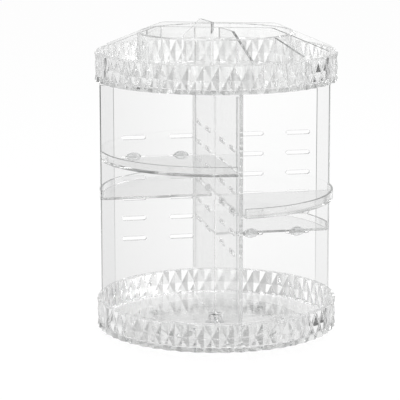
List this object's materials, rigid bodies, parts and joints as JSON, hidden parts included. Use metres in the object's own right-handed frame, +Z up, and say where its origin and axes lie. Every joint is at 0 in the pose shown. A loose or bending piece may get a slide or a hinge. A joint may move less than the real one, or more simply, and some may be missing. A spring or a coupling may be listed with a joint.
{
  "type": "rotating makeup organizer",
  "caption": "Clear round rotating cosmetics carousel: faceted top and bottom trays on crossed slotted panels, hook-on quarter trays, drop-in top divider and ball-bearing base.",
  "frame": {"origin": "on the table under the turning axis, at the underside of the feet", "axes": "+Z up along the turning axis, X along the left-right panel, -Y towards the viewer"},
  "size_m": [0.188, 0.188, 0.242],
  "materials": {
    "clear_plastic": "clear, polished, as moulded",
    "frosted_plastic": "translucent white",
    "clear_rubber": "clear soft pads, milky",
    "steel": "bright zinc-plated"
  },
  "bodies": {
    "base": {"base_plate": "clear_plastic", "base_feet": "clear_rubber"},
    "carousel": {"bottom_tray": "clear_plastic", "upper_race": "clear_plastic", "race_screws": "steel", "pivot_screw": "steel", "pivot_washer": "steel", "left_right_panel": "clear_plastic", "front_back_panel": "clear_plastic", "top_tray": "clear_plastic"},
    "bearing": {"ball_cage": "frosted_plastic", "bearing_balls": "frosted_plastic"},
    "front_left_tray": {"front_left_tray": "clear_plastic"},
    "front_right_tray": {"front_right_tray": "clear_plastic"},
    "back_right_tray": {"back_right_tray": "clear_plastic"},
    "back_left_tray": {"back_left_tray": "clear_plastic"},
    "divider": {"divider_insert": "clear_plastic"}
  },
  "joints": [
    {"name": "turntable_spin", "type": "hinge", "parent": "base", "child": "carousel", "pos_m": [0, 0, 0.004], "axis": [0, 0, 1], "continuous": true},
    {"name": "cage_spin", "type": "hinge", "parent": "base", "child": "bearing", "pos_m": [0, 0, 0.004], "axis": [0, 0, 1], "continuous": true},
    {"name": "front_left_tray_tilt", "type": "hinge", "parent": "carousel", "child": "front_left_tray", "pos_m": [-0.0466, 0, 0.1403], "axis": [-1, 0, 0], "range_deg": [0, 14]},
    {"name": "front_right_tray_tilt", "type": "hinge", "parent": "carousel", "child": "front_right_tray", "pos_m": [0, -0.0466, 0.1085], "axis": [0, -1, 0], "range_deg": [0, 14]},
    {"name": "back_right_tray_tilt", "type": "hinge", "parent": "carousel", "child": "back_right_tray", "pos_m": [0.0466, 0, 0.0767], "axis": [1, 0, 0], "range_deg": [0, 14]},
    {"name": "back_left_tray_tilt", "type": "hinge", "parent": "carousel", "child": "back_left_tray", "pos_m": [0, 0.0466, 0.1085], "axis": [0, 1, 0], "range_deg": [0, 14]},
    {"name": "divider_lift", "type": "slide", "parent": "carousel", "child": "divider", "axis": [0, 0, 1], "range_m": [0, 0.045]}
  ],
  "couplings": [
    {"joint": "cage_spin", "follows": "turntable_spin", "ratio": 0.5}
  ]
}
